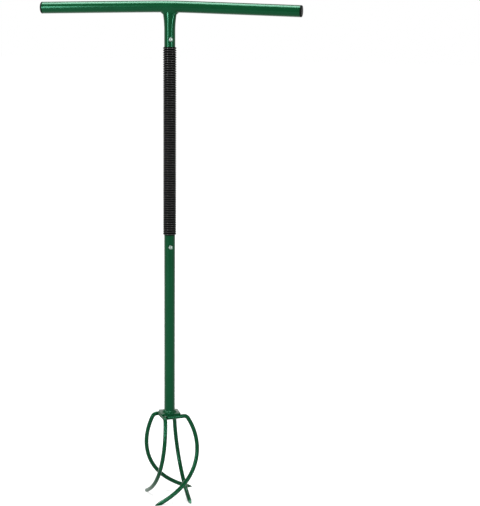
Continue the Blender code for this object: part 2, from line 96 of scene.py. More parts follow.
# Facets round the pieces and steps along them.
TUBE_SIDES = 64
SLEEVE_SIDES = 48
ROD_SIDES = 28
BUTTON_SIDES = 40
PLUG_RIM_STEPS = 12
FLARE_STEPS = 20
RIB_STEPS = 10
CORNER_STEPS = 8
EDGE_STEPS = 3
RUN_STEPS = 8
BEND_STEPS = 16
SWEEP_STEPS = 88
DOME_STEPS = 14
LEAF_BEND_STEPS = 16
BEAD_STEPS = 10
BAR_BEAD_RINGS = 220
FOOT_BEAD_RINGS = 300

# Edges are broken by this much.
TUBE_EDGE = 0.0003
BAR_EDGE = 0.0004
PLUG_EDGE = 0.0002
ROD_EDGE = 0.0005
BUTTON_EDGE = 0.0001

# Faces that meet at more than this many degrees keep a sharp edge.
SHARP_ANGLE = 32.0
BEAD_SHARP_ANGLE = 60.0
RIB_SHARP_ANGLE = 75.0

# A button's hole takes up this many facets to each side of its middle.
HOLE_REACH = 5

# Loops from the facets round a hole to its rounded rim: share of the way in, how much wider than
# the hole, and depth below the skin.
HOLE_RIM = (
    (0.45, 0.0004, 0.0), (0.8, 0.0004, 0.0), (1.0, 0.0004, 0.0), (1.0, 0.00012, 0.00008),
    (1.0, 0.0, 0.0003),
)

# The strip lamps: name, side of the camera and width. Both shine at the shaft.
STRIPS = (("strip_left", -1, 0.45), ("strip_right", 1, 0.32))
STRIP_LENGTH = 1.5
STRIP_DISTANCE = 3.0
STRIP_Z = 1.25
STRIP_AIM = Vector((0.0, 0.0, 0.6))

# The lamp overhead shines straight down.
CEILING_SIZE = (1.1, 1.5)
CEILING_PLACE = Vector((-0.5, 0.05, 3.0))
CEILING_AIM = Vector((-0.5, 0.05, 0.0))

# The floor's glow rises between these distances from the tool, and between these levels.
FLOOR_FADE = (0.25, 1.2)
FLOOR_GLOW = (0.66, 0.95)
FLOOR_REACH = 14.0
FLOOR_SQUARES = 24
FLOOR_GAP = 0.0002

HANDLE_TOP_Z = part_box("handlebar")[1].z
STEM_BOTTOM_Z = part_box("handle_stem")[0].z
SLEEVE_BOTTOM_Z, SLEEVE_TOP_Z = (corner.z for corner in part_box("grip_sleeve"))
LOWER_TUBE_BOTTOM_Z, LOWER_TUBE_TOP_Z = (corner.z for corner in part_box("lower_tube"))
PLATE_BOTTOM_Z, PLATE_TOP_Z = (corner.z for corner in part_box("base_plate"))
BUTTON_Z = {
    name: sum(corner.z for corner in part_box(name + "_snap_button")) / 2
    for name in ("upper", "lower")
}
FLOOR_Z = CAD_BOX[0].z


def length(name, description, default):
    return FloatProperty(
        name=name, description=description, default=default, min=0.0, precision=4,
        unit="LENGTH", subtype="DISTANCE",
    )


def angle(name, description, degrees):
    return FloatProperty(
        name=name, description=description, default=math.radians(degrees), unit="ROTATION",
        subtype="ANGLE",
    )


def number(name, description, default):
    return FloatProperty(name=name, description=description, default=default, precision=3)


def colour(name, description, default):
    return FloatVectorProperty(
        name=name, description=description, default=default, size=3, min=0.0, max=1.0,
        subtype="COLOR",
    )


class CultivatorHandle(bpy.types.PropertyGroup):
    """Sizes of the handlebar, its plugs and its weld."""

    length: length("Length", "Handlebar with both end plugs", 0.496)
    diameter: length("Diameter", "Outside of the handlebar's tube", 0.022)
    wall: length("Wall", "Wall of the handlebar's tube", 0.0014)
    arm_slope: number("Arm Slope", "Drop of each arm for one unit outwards", 0.0245)
    bend_span: length("Bend Span", "How softly the bar bends over the shaft", 0.030)
    plug_head: length("Plug Head", "Thickness of a plug's head", 0.0032)
    plug_rim: length("Plug Rim", "Rounding of a plug's rim", 0.0024)
    plug_shank: length("Plug Shank", "Length of a plug inside the tube", 0.016)
    weld_along: length("Weld Along", "Reach of the weld along the bar", 0.0042)
    weld_across: length("Weld Across", "Reach of the weld across the bar", 0.0018)
    weld_down: length("Weld Down", "Reach of the weld down the stem", 0.0036)


class CultivatorShaft(bpy.types.PropertyGroup):
    """Sizes of the shaft's tubes, sleeve, buttons and weld."""

    diameter: length("Diameter", "Outside of the shaft's tubes", 0.0207)
    wall: length("Wall", "Wall of the shaft's tubes", 0.0012)
    flare_width: length("Flare Width", "Width of the stem's top along the bar", 0.0268)
    flare_inset: length("Flare Inset", "How far the stem's top stays inside the bar", 0.0031)
    flare_length: length("Flare Length", "Height over which the stem flares", 0.033)
    rib_count: IntProperty(name="Ribs", description="Ribs of the sleeve", default=82, min=1)
    rib_diameter: length("Rib Diameter", "Across the sleeve's ribs", 0.0252)
    valley_diameter: length("Valley Diameter", "Across the sleeve's valleys", 0.0203)
    button_diameter: length("Button Diameter", "Across a snap button", 0.0076)
    button_clearance: length("Button Clearance", "Gap round a snap button", 0.0003)
    button_rise: length("Button Rise", "How far a button stands out of the shaft", 0.0030)
    button_dome: length("Button Dome", "Height of a button's dome", 0.0018)
    button_flange: length("Button Flange", "Width and thickness of a button's flange", 0.0007)
    flange_depth: length("Flange Depth", "From the shaft's skin to a button's flange", 0.0042)
    button_angle: angle("Button Angle", "Side of the shaft that the buttons face", -66.0)
    leaf_thickness: length("Leaf Thickness", "Thickness of a leaf spring", 0.0008)
    leaf_width: length("Leaf Width", "Width of a leaf spring", 0.0060)
    leaf_leg: length("Leaf Leg", "From the button to a leaf spring's bend", 0.030)
    leaf_past: length("Leaf Past", "Reach of a leaf spring past the button", 0.0055)
    leaf_bend: length("Leaf Bend", "Radius of a leaf spring's bend", 0.0018)
    leaf_depth: length("Leaf Depth", "From the shaft's skin to the leaf behind a button", 0.0056)
    leaf_wall_depth: length("Leaf Wall Depth", "From the far skin to the leaf's other leg", 0.0038)
    leaf_keep: number("Leaf Keep", "Share of a leaf spring's spread left when pressed", 0.63)
    weld_out: length("Weld Out", "Reach of the foot's weld on the plate", 0.0046)
    weld_up: length("Weld Up", "Reach of the foot's weld up the tube", 0.0040)


class CultivatorClaw(bpy.types.PropertyGroup):
    """Sizes of the plate and the tines."""

    plate_side: length("Plate Side", "Side of the square plate", 0.0376)
    plate_corner: length("Plate Corner", "Radius of the plate's corners", 0.003)
    plate_angle: angle("Plate Angle", "Turn of the plate about the shaft", 24.0)
    plate_edge: length("Plate Edge", "Rounding of the plate's edges", 0.0005)
    rod_diameter: length("Rod Diameter", "Outside of the bent rods", 0.0080)
    square_angle: angle("Square Angle", "Turn of the rods about the shaft", 32.2)
    edge_inset: length("Edge Inset", "Rod's axis inside the plate's edge", 0.0013)
    bend_past_plate: length("Bend Past Plate", "Where a rod's bend starts", 0.0028)
    bend_radius: length("Bend Radius", "Radius of the bend at the plate", 0.0095)
    leg_heading: angle("Leg Heading", "Slant outwards below the bend", 25.9)
    tip_heading: angle("Tip Heading", "Slant at the tip, inwards below zero", -68.7)
    sweep_length: length("Sweep Length", "Length of the rod below the bend", 0.2073)
    sweep_early: number("Sweep Early", "How much the sweep turns early", 0.387)
    sweep_ease: number("Sweep Ease", "How much the sweep eases at its ends", 0.488)
    point_length: length("Point Length", "Length of the ground point", 0.013)
    point_thickness: length("Point Thickness", "Thickness of the point's end", 0.0012)
    point_width: length("Point Width", "Width of the point's end", 0.0030)
    point_drop: number("Point Drop", "How far the point lies off the rod's axis", 0.5)


class CultivatorFinish(bpy.types.PropertyGroup):
    """Colours of the finishes."""

    paint: colour("Enamel", "Glossy enamel of the steel parts", (0.0002, 0.030, 0.0070))
    paint_light: colour("Light Enamel", "Where the enamel lies thicker", (0.0008, 0.044, 0.0120))
    sheen: colour("Enamel Gloss", "Tint of the enamel's reflections", (0.27, 1.0, 0.65))
    rubber: colour("Rubber", "Ribbed sleeve", (0.0006, 0.0006, 0.0006))
    rubber_dust: colour("Rubber Bloom", "Pale bloom in the rubber", (0.0018, 0.0018, 0.0017))
    # The crests' paler colour is partly wear and partly a painted highlight on the ribs.
    rubber_worn: colour("Crest Wear And Highlight", "Crests rubbed by hands, lightened as a painted highlight", (0.013, 0.013, 0.0125))
    plastic: colour("Plastic", "Plugs in the handlebar's ends", (0.0015, 0.0030, 0.0022))
    steel: colour("Steel", "Bare steel inside the shaft", (0.48, 0.48, 0.46))
    plating: colour("Plating", "Bright plating of the buttons", (0.20, 0.26, 0.23))
    floor: colour("Floor", "Studio floor", (0.50, 0.50, 0.50))


class CultivatorStage(bpy.types.PropertyGroup):
    """Place of the camera and level of the lamps."""

    azimuth: angle("Azimuth", "How far the camera stands to the right of the front", 14.0)
    distance: length("Distance", "From the shaft to the camera, along the floor", 3.2)
    height: length("Height", "Height of the camera", 1.0265)
    aim_right: angle("Aim Right", "Camera's aim to the right of the shaft", 2.381)
    aim_down: angle("Aim Down", "Camera's aim below level", 9.7346)
    roll: angle("Roll", "Turn of the camera about its own axis", 0.44)
    lens: number("Lens", "Focal length in millimetres for a 36 mm sensor", 122.16)
    strip_spread: angle("Strip Spread", "Strip lamps to each side of the camera", 41.0)
    strip_glow: number("Strip Glow", "Radiance of the two strip lamps", 36.0)
    ceiling_glow: number("Ceiling Glow", "Radiance of the lamp overhead", 20.0)
    fill: number("Fill", "Strength of the even light from all sides", 0.15)


class CultivatorSettings(bpy.types.PropertyGroup):
    """Everything that a user can change."""

    handle: PointerProperty(type=CultivatorHandle)
    shaft: PointerProperty(type=CultivatorShaft)
    claw: PointerProperty(type=CultivatorClaw)
    finish: PointerProperty(type=CultivatorFinish)
    stage: PointerProperty(type=CultivatorStage)


# Meshes


def full_turn(sides, start=0.0):
    """Even angles once round."""
    return [start + 2 * math.pi * i / sides for i in range(sides)]


def quarter_turn(steps):
    """Even angles from 0 to a right angle."""
    return [math.pi / 2 * i / steps for i in range(steps + 1)]


def bridge(mesh, near, far, skipped=()):
    """Join two rows of vertices that each run once round, apart from the skipped faces."""
    for i in range(len(near)):
        if i not in skipped:
            k = (i + 1) % len(near)
            mesh.faces.new((near[i], near[k], far[k], far[i]))


def loft(rings, closed=False):
    """Join rings of equal length. An open loft gets a flat face on each end."""
    mesh = bmesh.new()
    rows = [[mesh.verts.new(point) for point in ring] for ring in rings]
    for near, far in zip(rows, rows[1:] + rows[:1] if closed else rows[1:]):
        bridge(mesh, near, far)
    if not closed:
        mesh.faces.new(list(reversed(rows[0])))
        mesh.faces.new(rows[-1])
    bmesh.ops.recalc_face_normals(mesh, faces=mesh.faces)
    return mesh


def oval(width, depth, height, sides, start=0.0):
    """Points round Z at one height. Width and depth are the half axes along X and Y."""
    return [Vector((width * math.cos(turn), depth * math.sin(turn), height))
            for turn in full_turn(sides, start)]


def turned(profile, sides, closed=False):
    """A shape turned about Z from (radius, height) pairs."""
    return loft([oval(radius, radius, height, sides) for radius, height in profile], closed)


def placed(origin, x_axis, y_axis, z_axis):
    """The matrix that puts the local axes along the given ones, at an origin."""
    columns = Matrix((x_axis, y_axis, z_axis)).transposed()
    return Matrix.Translation(origin) @ columns.to_4x4()


def add_piece(name, mesh, material, node_name, body="tool", place=None,
              sharp=SHARP_ANGLE):
    """Put a finished mesh into the scene in place of a node of the frame."""
    data = bpy.data.meshes.new(name)
    mesh.to_mesh(data)
    mesh.free()
    if place is not None:
        data.transform(place)
    data.materials.append(material)
    data.shade_smooth()
    data.set_sharp_from_angle(angle=math.radians(sharp))
    piece = bpy.data.objects.new(name, data)
    bpy.context.scene.collection.objects.link(piece)
    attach(piece, body)
    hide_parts(node_name)
    return piece


def handle_point(bar, x):
    """The handlebar's centre line: straight arms that droop a little from a soft bend."""
    droop = math.sqrt(x * x + bar.bend_span ** 2) - bar.bend_span
    return Vector((x, 0.0, HANDLE_TOP_Z - bar.diameter / 2 - bar.arm_slope * droop))


def handle_direction(bar, x):
    slope = -bar.arm_slope * x / math.sqrt(x * x + bar.bend_span ** 2)
    return Vector((1.0, 0.0, slope)).normalized()


def handle_ring(bar, x, radius):
    side = Vector((0.0, 1.0, 0.0))
    up = handle_direction(bar, x).cross(side)
    return [handle_point(bar, x) + radius * (math.cos(turn) * side + math.sin(turn) * up)
            for turn in full_turn(TUBE_SIDES)]


def under_bar(bar, point, gap=SEAT_GAP):
    """The given place, raised until it lies just below the handlebar."""
    radius = bar.diameter / 2 + gap
    height = handle_point(bar, point.x).z - math.sqrt(radius ** 2 - point.y ** 2)
    return Vector((point.x, point.y, height))


def flare_share(bar, shaft, height):
    """How far the stem has flared at a height, from 0 to 1."""
    bottom = HANDLE_TOP_Z - bar.diameter - shaft.flare_length
    return min(max((height - bottom) / shaft.flare_length, 0.0), 1.0) ** 2


def stem_ring(bar, shaft, height, wall, sides=TUBE_SIDES):
    """Round at the foot, wide along the bar and shallow across it at the top."""
    share = flare_share(bar, shaft, height)
    radius = shaft.diameter / 2
    width = radius + share * (shaft.flare_width / 2 - radius) - wall
    depth = radius + share * (bar.diameter / 2 - shaft.flare_inset - radius) - wall
    return oval(width, depth, height, sides, shaft.button_angle)


def holed_tube(shaft, outer, inner, hole_z):
    """A tube's outer skin, ends and bore, with a button's hole whose rim is rounded.

    The outer rings run upwards over the outside, the inner ones down the bore, and both have the
    same heights across the hole. Their first point faces as the buttons do. The skin round the
    hole is a fan from the hole's rim to the facets round it, outside and in the bore.
    """
    radius = shaft.diameter / 2
    hole_radius = shaft.button_diameter / 2 + shaft.button_clearance
    mesh = bmesh.new()
    rings = outer + inner
    count = len(rings[0])
    rows = [[mesh.verts.new(point) for point in ring] for ring in rings]
    heights = [ring[0].z for ring in rings]
    first = min(range(len(outer)), key=lambda i: abs(heights[i] - hole_z))
    bore = min(range(len(outer), len(rings)), key=lambda i: abs(heights[i] - hole_z))
    low, high = first - HOLE_REACH, first + HOLE_REACH
    opened = [j for j in range(count) if (j + HOLE_REACH) % count < 2 * HOLE_REACH]
    for i, (near, far) in enumerate(zip(rows, rows[1:] + rows[:1])):
        beside_hole = low <= i < high or bore - HOLE_REACH <= i < bore + HOLE_REACH
        bridge(mesh, near, far, opened if beside_hole else ())
    border = [(high, j) for j in range(HOLE_REACH, -HOLE_REACH, -1)]
    border += [(i, -HOLE_REACH) for i in range(high, low, -1)]
    border += [(low, j) for j in range(-HOLE_REACH, HOLE_REACH)]
    border += [(i, HOLE_REACH) for i in range(low, high)]
    step = 2 * math.pi / count
    loops = [[rows[i][j % count] for i, j in border]]
    for share, wider, depth in (*HOLE_RIM, (1.0, 0.0, shaft.wall)):
        loop = []
        for i, j in border:
            across, up = math.sin(j * step) * radius, heights[i] - hole_z
            spread = math.hypot(across, up)
            rim_across = across / spread * (hole_radius + wider)
            rim_up = up / spread * (hole_radius + wider)
            side = across + share * (rim_across - across)
            out = math.sqrt((radius - depth) ** 2 - side ** 2)
            loop.append(mesh.verts.new((
                out * math.cos(shaft.button_angle) - side * math.sin(shaft.button_angle),
                out * math.sin(shaft.button_angle) + side * math.cos(shaft.button_angle),
                hole_z + up + share * (rim_up - up),
            )))
        loops.append(loop)
    loops.append([rows[bore + first - i][j % count] for i, j in border])
    for near, far in zip(loops, loops[1:]):
        bridge(mesh, near, far)
    bmesh.ops.recalc_face_normals(mesh, faces=mesh.faces)
    return mesh


def heights_across_hole(shaft, hole_z):
    """Heights of the facets that a hole takes up, which are as high as they are wide."""
    step = math.pi * shaft.diameter / TUBE_SIDES
    return [hole_z + step * i for i in range(-HOLE_REACH, HOLE_REACH + 1)]


def heights_round_hole(shaft, bottom, top, hole_z, plain_step):
    """Heights from bottom to top, with even close steps across a hole."""
    marks = heights_across_hole(shaft, hole_z)
    below, above = marks[0] - bottom, top - marks[-1]
    under = max(1, round(below / plain_step))
    over = max(1, round(above / plain_step))
    heights = [bottom + below * i / under for i in range(under)]
    heights += marks
    heights += [marks[-1] + above * (i + 1) / over for i in range(over)]
    return heights


def ripple(along, pitch):
    """The overlapping scales of a weld bead, from 0 to 1."""
    share = (along / pitch) % 1.0
    return math.sqrt(max(0.0, 1.0 - (2.0 * share - 1.0) ** 2))


def bead_share(spot, along, level, seed, patch, uneven, scales, pitch):
    """Size of a weld bead at a spot, as a share of its full size.

    It varies by up to uneven over patches of the given size, and grows by up to scales over the
    overlapping scales, which lie a pitch apart.
    """
    swell = uneven * noise.noise(spot / patch + Vector((seed, 0.0, 0.0)))
    return level + swell + scales * ripple(along, pitch)


def rod_frame(claw, index, lean):
    """Local X runs out along a rod's level run from where its bend starts, local Z is up."""
    rod = RODS[index]
    spin = claw.square_angle - index * 2 * math.pi / len(RODS)
    along = Vector((math.cos(spin), math.sin(spin), 0.0))
    outward = Vector((math.sin(spin), -math.cos(spin), 0.0))
    bend_start = claw.plate_side / 2 + claw.bend_past_plate + rod.further_out
    start = along * bend_start + outward * (claw.plate_side / 2 - claw.edge_inset)
    turned_to = Matrix.Rotation(spin + math.radians(rod.turn), 4, "Z")
    leaned = Matrix.Rotation(-math.radians(lean), 4, "X")
    return Matrix.Translation(start) @ turned_to @ leaned


def back_to_crossing(claw, index, other_index, half_width):
    """How far back along a rod's run another one crosses it, and half the stretch it takes."""
    own = rod_frame(claw, index, 0.0)
    other = rod_frame(claw, other_index, 0.0)
    back = -(own.to_3x3() @ Vector((1.0, 0.0, 0.0)))
    line = other.to_3x3() @ Vector((1.0, 0.0, 0.0))
    between = other.translation - own.translation
    crossing = back.x * line.y - back.y * line.x
    distance = (between.x * line.y - between.y * line.x) / crossing
    slant = abs(back.dot(line))
    return distance, (half_width + claw.rod_diameter / 2 * slant) / abs(crossing)


def rod_heading(claw, share, leg_heading):
    """Slant of a rod at a share of its sweep."""
    ease = claw.sweep_early - claw.sweep_ease * (1.0 - 2.0 * share)
    return leg_heading + (claw.tip_heading - leg_heading) * (share + share * (1.0 - share) * ease)


def rod_path(claw, index):
    """Points (distance out, height, heading) from the inner end of a rod to its tip."""
    rod = RODS[index]
    leg_heading = claw.leg_heading + math.radians(rod.opening)
    neighbour = (index + 1) % len(RODS)
    distance, stretch = back_to_crossing(claw, index, neighbour, claw.rod_diameter / 2 + SEAT_GAP)
    run = distance - stretch
    level = math.pi / 2
    stations = [(-run + run * i / RUN_STEPS, 0.0, level) for i in range(RUN_STEPS)]
    for i in range(BEND_STEPS + 1):
        heading = level + (leg_heading - level) * i / BEND_STEPS
        stations.append((claw.bend_radius * math.cos(heading),
                         -claw.bend_radius * (1.0 - math.sin(heading)), heading))
    out, height, heading = stations[-1]
    step = (claw.sweep_length + rod.extra_length) / SWEEP_STEPS
    for i in range(SWEEP_STEPS):
        middle = rod_heading(claw, (i + 0.5) / SWEEP_STEPS, leg_heading)
        out += step * math.sin(middle)
        height -= step * math.cos(middle)
        stations.append((out, height, rod_heading(claw, (i + 1) / SWEEP_STEPS, leg_heading)))
    return stations


def rod_mesh(claw, index):
    """A round rod with a slightly broken edge at its inner end and a ground point."""
    radius = claw.rod_diameter / 2
    side = Vector((0.0, 1.0, 0.0))
    turns = [2 * math.pi * (i + 0.5) / ROD_SIDES for i in range(ROD_SIDES)]
    stations = rod_path(claw, index)
    rings = []
    for place, (out, height, heading) in enumerate(stations):
        inner = side.cross(Vector((math.sin(heading), 0.0, -math.cos(heading))))
        centre = Vector((out, 0.0, height))
        size = radius if place else radius - ROD_EDGE
        ring = [centre + side * size * math.cos(turn) + inner * size * math.sin(turn)
                for turn in turns]
        rings.append(ring)
        if not place:
            ahead = Vector((ROD_EDGE, 0.0, 0.0))
            rings.append([centre + ahead + (point - centre) * radius / size for point in ring])
    mesh = loft(rings)
    grind_point(mesh, claw, *stations[-1])
    return mesh


def grind_point(mesh, claw, out, height, heading):
    """Grind four flat facets to a blunt point at a rod's tip."""
    radius = claw.rod_diameter / 2
    side = Vector((0.0, 1.0, 0.0))
    ahead = Vector((math.sin(heading), 0.0, -math.cos(heading)))
    inner = side.cross(ahead)
    thick, wide = claw.point_thickness / 2, claw.point_width / 2
    fall = radius - thick
    tip = Vector((out, 0.0, height)) + inner * fall * claw.point_drop
    grinds = (
        (-inner, thick, fall * (1.0 + claw.point_drop)),
        (inner, thick, fall * (1.0 - claw.point_drop)),
        (side, wide, radius - wide),
        (-side, wide, radius - wide),
    )
    cut_reach = 2.5 * claw.point_length
    for away, reach, rise in grinds:
        slope = math.atan2(rise, claw.point_length)
        normal = (away * math.cos(slope) + ahead * math.sin(slope)).normalized()
        near_tip = [vert for vert in mesh.verts if (vert.co - tip).length < cut_reach]
        edges = list({edge for vert in near_tip for edge in vert.link_edges})
        faces = list({face for vert in near_tip for face in vert.link_faces})
        cut = bmesh.ops.bisect_plane(
            mesh, geom=near_tip + edges + faces, plane_co=tip + away * reach, plane_no=normal,
            clear_outer=True,
        )
        rim = [item for item in cut["geom_cut"] if isinstance(item, bmesh.types.BMEdge)]
        bmesh.ops.holes_fill(mesh, edges=rim)
    bmesh.ops.recalc_face_normals(mesh, faces=mesh.faces)


def button_place(shaft, height):
    """Local Z points out of the shaft along a button, local X points up the shaft."""
    out = Vector((math.cos(shaft.button_angle), math.sin(shaft.button_angle), 0.0))
    up = Vector((0.0, 0.0, 1.0))
    return placed((0.0, 0.0, height), up, out.cross(up), out)


# Node groups


def new_group(name, inputs, outputs):
    """A shader node group with its input and output nodes."""
    group = bpy.data.node_groups.new(name, "ShaderNodeTree")
    for socket, kind, default in inputs:
        made = group.interface.new_socket(name=socket, in_out="INPUT", socket_type=kind)
        if default is not None:
            made.default_value = default
    for socket, kind in outputs:
        group.interface.new_socket(name=socket, in_out="OUTPUT", socket_type=kind)
    return group, group.nodes.new("NodeGroupInput"), group.nodes.new("NodeGroupOutput")


def node(tree, kind, links=(), **values):
    """Add a node, set its properties and link (input, socket) pairs into it."""
    made = tree.nodes.new(kind)
    for key, value in values.items():
        setattr(made, key, value)
    for key, source in links:
        if hasattr(source, "links"):
            tree.links.new(source, made.inputs[key])
        else:
            made.inputs[key].default_value = source
    return made


def colour_drift_group(name):
    """A slow change between two colours over the surface."""
    group, given, out = new_group(name, (
        ("Vector", "NodeSocketVector", None),
        ("Color", "NodeSocketColor", (0.5, 0.5, 0.5, 1.0)),
        ("Drift Color", "NodeSocketColor", (0.6, 0.6, 0.6, 1.0)),
        ("Scale", "NodeSocketFloat", 20.0),
        ("Amount", "NodeSocketFloat", 1.0),
    ), (("Color", "NodeSocketColor"),))
    cloud = node(group, "ShaderNodeTexNoise", (
        ("Vector", given.outputs["Vector"]), ("Scale", given.outputs["Scale"]),
        ("Detail", 4.0), ("Roughness", 0.55),
    ))
    spread = node(group, "ShaderNodeMapRange", (
        ("Value", cloud.outputs["Fac"]), ("From Min", 0.35), ("From Max", 0.65),
    ))
    share = node(group, "ShaderNodeMath", (
        (0, spread.outputs["Result"]), (1, given.outputs["Amount"]),
    ), operation="MULTIPLY")
    mix = node(group, "ShaderNodeMix", (
        (0, share.outputs[0]), (6, given.outputs["Color"]), (7, given.outputs["Drift Color"]),
    ), data_type="RGBA")
    group.links.new(mix.outputs[2], out.inputs["Color"])
    return group


def surface_relief_group(name):
    """Soft waves and a finer grain, as one height from 0 to 1."""
    group, given, out = new_group(name, (
        ("Vector", "NodeSocketVector", None),
        ("Wave Scale", "NodeSocketFloat", 120.0),
        ("Grain Scale", "NodeSocketFloat", 1500.0),
        ("Grain Share", "NodeSocketFloat", 0.3),
    ), (("Height", "NodeSocketFloat"),))
    wave = node(group, "ShaderNodeTexNoise", (
        ("Vector", given.outputs["Vector"]), ("Scale", given.outputs["Wave Scale"]),
        ("Detail", 1.0), ("Roughness", 0.4),
    ))
    grain = node(group, "ShaderNodeTexVoronoi", (
        ("Vector", given.outputs["Vector"]), ("Scale", given.outputs["Grain Scale"]),
    ), feature="SMOOTH_F1")
    mix = node(group, "ShaderNodeMix", (
        (0, given.outputs["Grain Share"]), (2, wave.outputs["Fac"]),
        (3, grain.outputs["Distance"]),
    ), data_type="FLOAT")
    group.links.new(mix.outputs[0], out.inputs["Height"])
    return group


def handling_marks_group(name):
    """Roughness with faint smears and fine rubbed streaks."""
    group, given, out = new_group(name, (
        ("Vector", "NodeSocketVector", None),
        ("Roughness", "NodeSocketFloat", 0.3),
        ("Smear", "NodeSocketFloat", 0.06),
        ("Streak", "NodeSocketFloat", 0.03),
    ), (("Roughness", "NodeSocketFloat"),))
    smear = node(group, "ShaderNodeTexNoise", (
        ("Vector", given.outputs["Vector"]), ("Scale", 45.0), ("Detail", 5.0),
    ))
    stretch = node(group, "ShaderNodeMapping", (
        ("Vector", given.outputs["Vector"]), ("Scale", (900.0, 900.0, 60.0)),
    ))
    streak = node(group, "ShaderNodeTexNoise", (
        ("Vector", stretch.outputs["Vector"]), ("Scale", 1.0), ("Detail", 2.0),
    ))
    smeared = node(group, "ShaderNodeMath", (
        (0, smear.outputs["Fac"]), (1, given.outputs["Smear"]), (2, given.outputs["Roughness"]),
    ), operation="MULTIPLY_ADD")
    streaked = node(group, "ShaderNodeMath", (
        (0, streak.outputs["Fac"]), (1, given.outputs["Streak"]), (2, smeared.outputs[0]),
    ), operation="MULTIPLY_ADD")
    group.links.new(streaked.outputs[0], out.inputs["Roughness"])
    return group


GROUPS = {
    "Colour Drift": colour_drift_group,
    "Surface Relief": surface_relief_group,
    "Handling Marks": handling_marks_group,
}


def use_group(tree, name, coordinates, values):
    """Place a node group, which is built the first time, with a material's own values."""
    made = tree.nodes.new("ShaderNodeGroup")
    made.node_tree = bpy.data.node_groups.get(name) or GROUPS[name](name)
    tree.links.new(coordinates.outputs["Object"], made.inputs["Vector"])
    for key, value in values:
        made.inputs[key].default_value = value
    return made


def seen_directly(tree):
    """1 where the camera, gloss or a clear surface looks, 0 where light is gathered."""
    path = node(tree, "ShaderNodeLightPath")
    seen = path.outputs["Is Camera Ray"]
    for ray in ("Is Glossy Ray", "Is Transmission Ray"):
        seen = node(tree, "ShaderNodeMath", (
            (0, seen), (1, path.outputs[ray]),
        ), operation="MAXIMUM").outputs[0]
    return seen


# Materials


def new_material(name):
    material = bpy.data.materials.new(name)
    material.use_nodes = True
    tree = material.node_tree
    return material, tree, tree.nodes["Principled BSDF"], tree.nodes.new("ShaderNodeTexCoord")


def dress(name, colours, drift, roughness, relief, bump, metallic=0.0, level=0.5, tint=None):
    """A material of drifting colour, uneven roughness and low relief.

    drift is (scale, amount), roughness (base, smear, streak), relief (wave scale, grain scale,
    grain share) and bump (strength, height in metres).
    """
    if name in bpy.data.materials:
        return bpy.data.materials[name]
    material, tree, shader, coordinates = new_material(name)
    hue = use_group(tree, "Colour Drift", coordinates, (
        ("Color", (*colours[0], 1.0)), ("Drift Color", (*colours[1], 1.0)),
        ("Scale", drift[0]), ("Amount", drift[1]),
    ))
    marks = use_group(tree, "Handling Marks", coordinates, (
        ("Roughness", roughness[0]), ("Smear", roughness[1]), ("Streak", roughness[2]),
    ))
    rise = use_group(tree, "Surface Relief", coordinates, (
        ("Wave Scale", relief[0]), ("Grain Scale", relief[1]), ("Grain Share", relief[2]),
    ))
    lift = node(tree, "ShaderNodeBump", (
        ("Height", rise.outputs["Height"]), ("Strength", bump[0]), ("Distance", bump[1]),
    ))
    tree.links.new(hue.outputs["Color"], shader.inputs["Base Color"])
    tree.links.new(marks.outputs["Roughness"], shader.inputs["Roughness"])
    tree.links.new(lift.outputs["Normal"], shader.inputs["Normal"])
    shader.inputs["Metallic"].default_value = metallic
    shader.inputs["Specular IOR Level"].default_value = level
    if tint is not None:
        shader.inputs["Specular Tint"].default_value = (*tint, 1.0)
    return material


def green_enamel(finish):
    return dress(
        "green_enamel", (finish.paint, finish.paint_light), drift=(14.0, 0.55),
        roughness=(0.12, 0.07, 0.02), relief=(95.0, 1400.0, 0.12), bump=(0.30, 0.00003),
        level=0.25, tint=finish.sheen,
    )


def weld_enamel(finish):
    """The same enamel where it lies over a bead and its spatter."""
    return dress(
        "enamel_over_weld", (finish.paint, finish.paint_light), drift=(60.0, 0.8),
        roughness=(0.16, 0.12, 0.0), relief=(420.0, 1100.0, 0.45), bump=(0.8, 0.00035),
        level=0.25, tint=finish.sheen,
    )


def sleeve_rubber(finish, shaft):
    """Dull rubber whose crests are polished by hands, and paler there, partly as wear and partly
    as a painted highlight.
    """
    name = "sleeve_rubber"
    if name in bpy.data.materials:
        return bpy.data.materials[name]
    material = dress(
        name, (finish.rubber, finish.rubber_dust), drift=(70.0, 0.5),
        roughness=(0.40, 0.12, 0.08), relief=(500.0, 2600.0, 0.5), bump=(0.25, 0.00002),
        level=0.04,
    )
    crest_band, crest_coat, coat_roughness = 0.0004, 0.55, 0.12
    tree = material.node_tree
    shader = tree.nodes["Principled BSDF"]
    coordinates = tree.nodes.new("ShaderNodeTexCoord")
    flat = node(tree, "ShaderNodeVectorMath", (
        (0, coordinates.outputs["Object"]), (1, (1.0, 1.0, 0.0)),
    ), operation="MULTIPLY")
    distance = node(tree, "ShaderNodeVectorMath", (
        (0, flat.outputs["Vector"]),
    ), operation="LENGTH")
    crest = shaft.rib_diameter / 2
    crest_polish_and_highlight = node(tree, "ShaderNodeMapRange", (
        ("Value", distance.outputs["Value"]), ("From Min", crest - crest_band),
        ("From Max", crest),
    ), interpolation_type="SMOOTHSTEP")
    gloss = node(tree, "ShaderNodeMath", (
        (0, crest_polish_and_highlight.outputs["Result"]), (1, crest_coat),
    ), operation="MULTIPLY")
    # Paler crest colour: partly wear, partly a painted highlight standing in for the crests'
    # glints.
    crest_wear_and_highlight = node(tree, "ShaderNodeMix", (
        (0, crest_polish_and_highlight.outputs["Result"]), (6, shader.inputs["Base Color"].links[0].from_socket),
        (7, (*finish.rubber_worn, 1.0)),
    ), data_type="RGBA")
    tree.links.new(gloss.outputs[0], shader.inputs["Coat Weight"])
    tree.links.new(crest_wear_and_highlight.outputs[2], shader.inputs["Base Color"])
    shader.inputs["Coat Roughness"].default_value = coat_roughness
    return material


def plug_plastic(finish):
    lighter = [min(1.0, 2.0 * part) for part in finish.plastic]
    return dress(
        "plug_plastic", (finish.plastic, lighter), drift=(55.0, 0.4),
        roughness=(0.36, 0.12, 0.04), relief=(300.0, 2200.0, 0.6), bump=(0.4, 0.00005),
        level=0.06,
    )


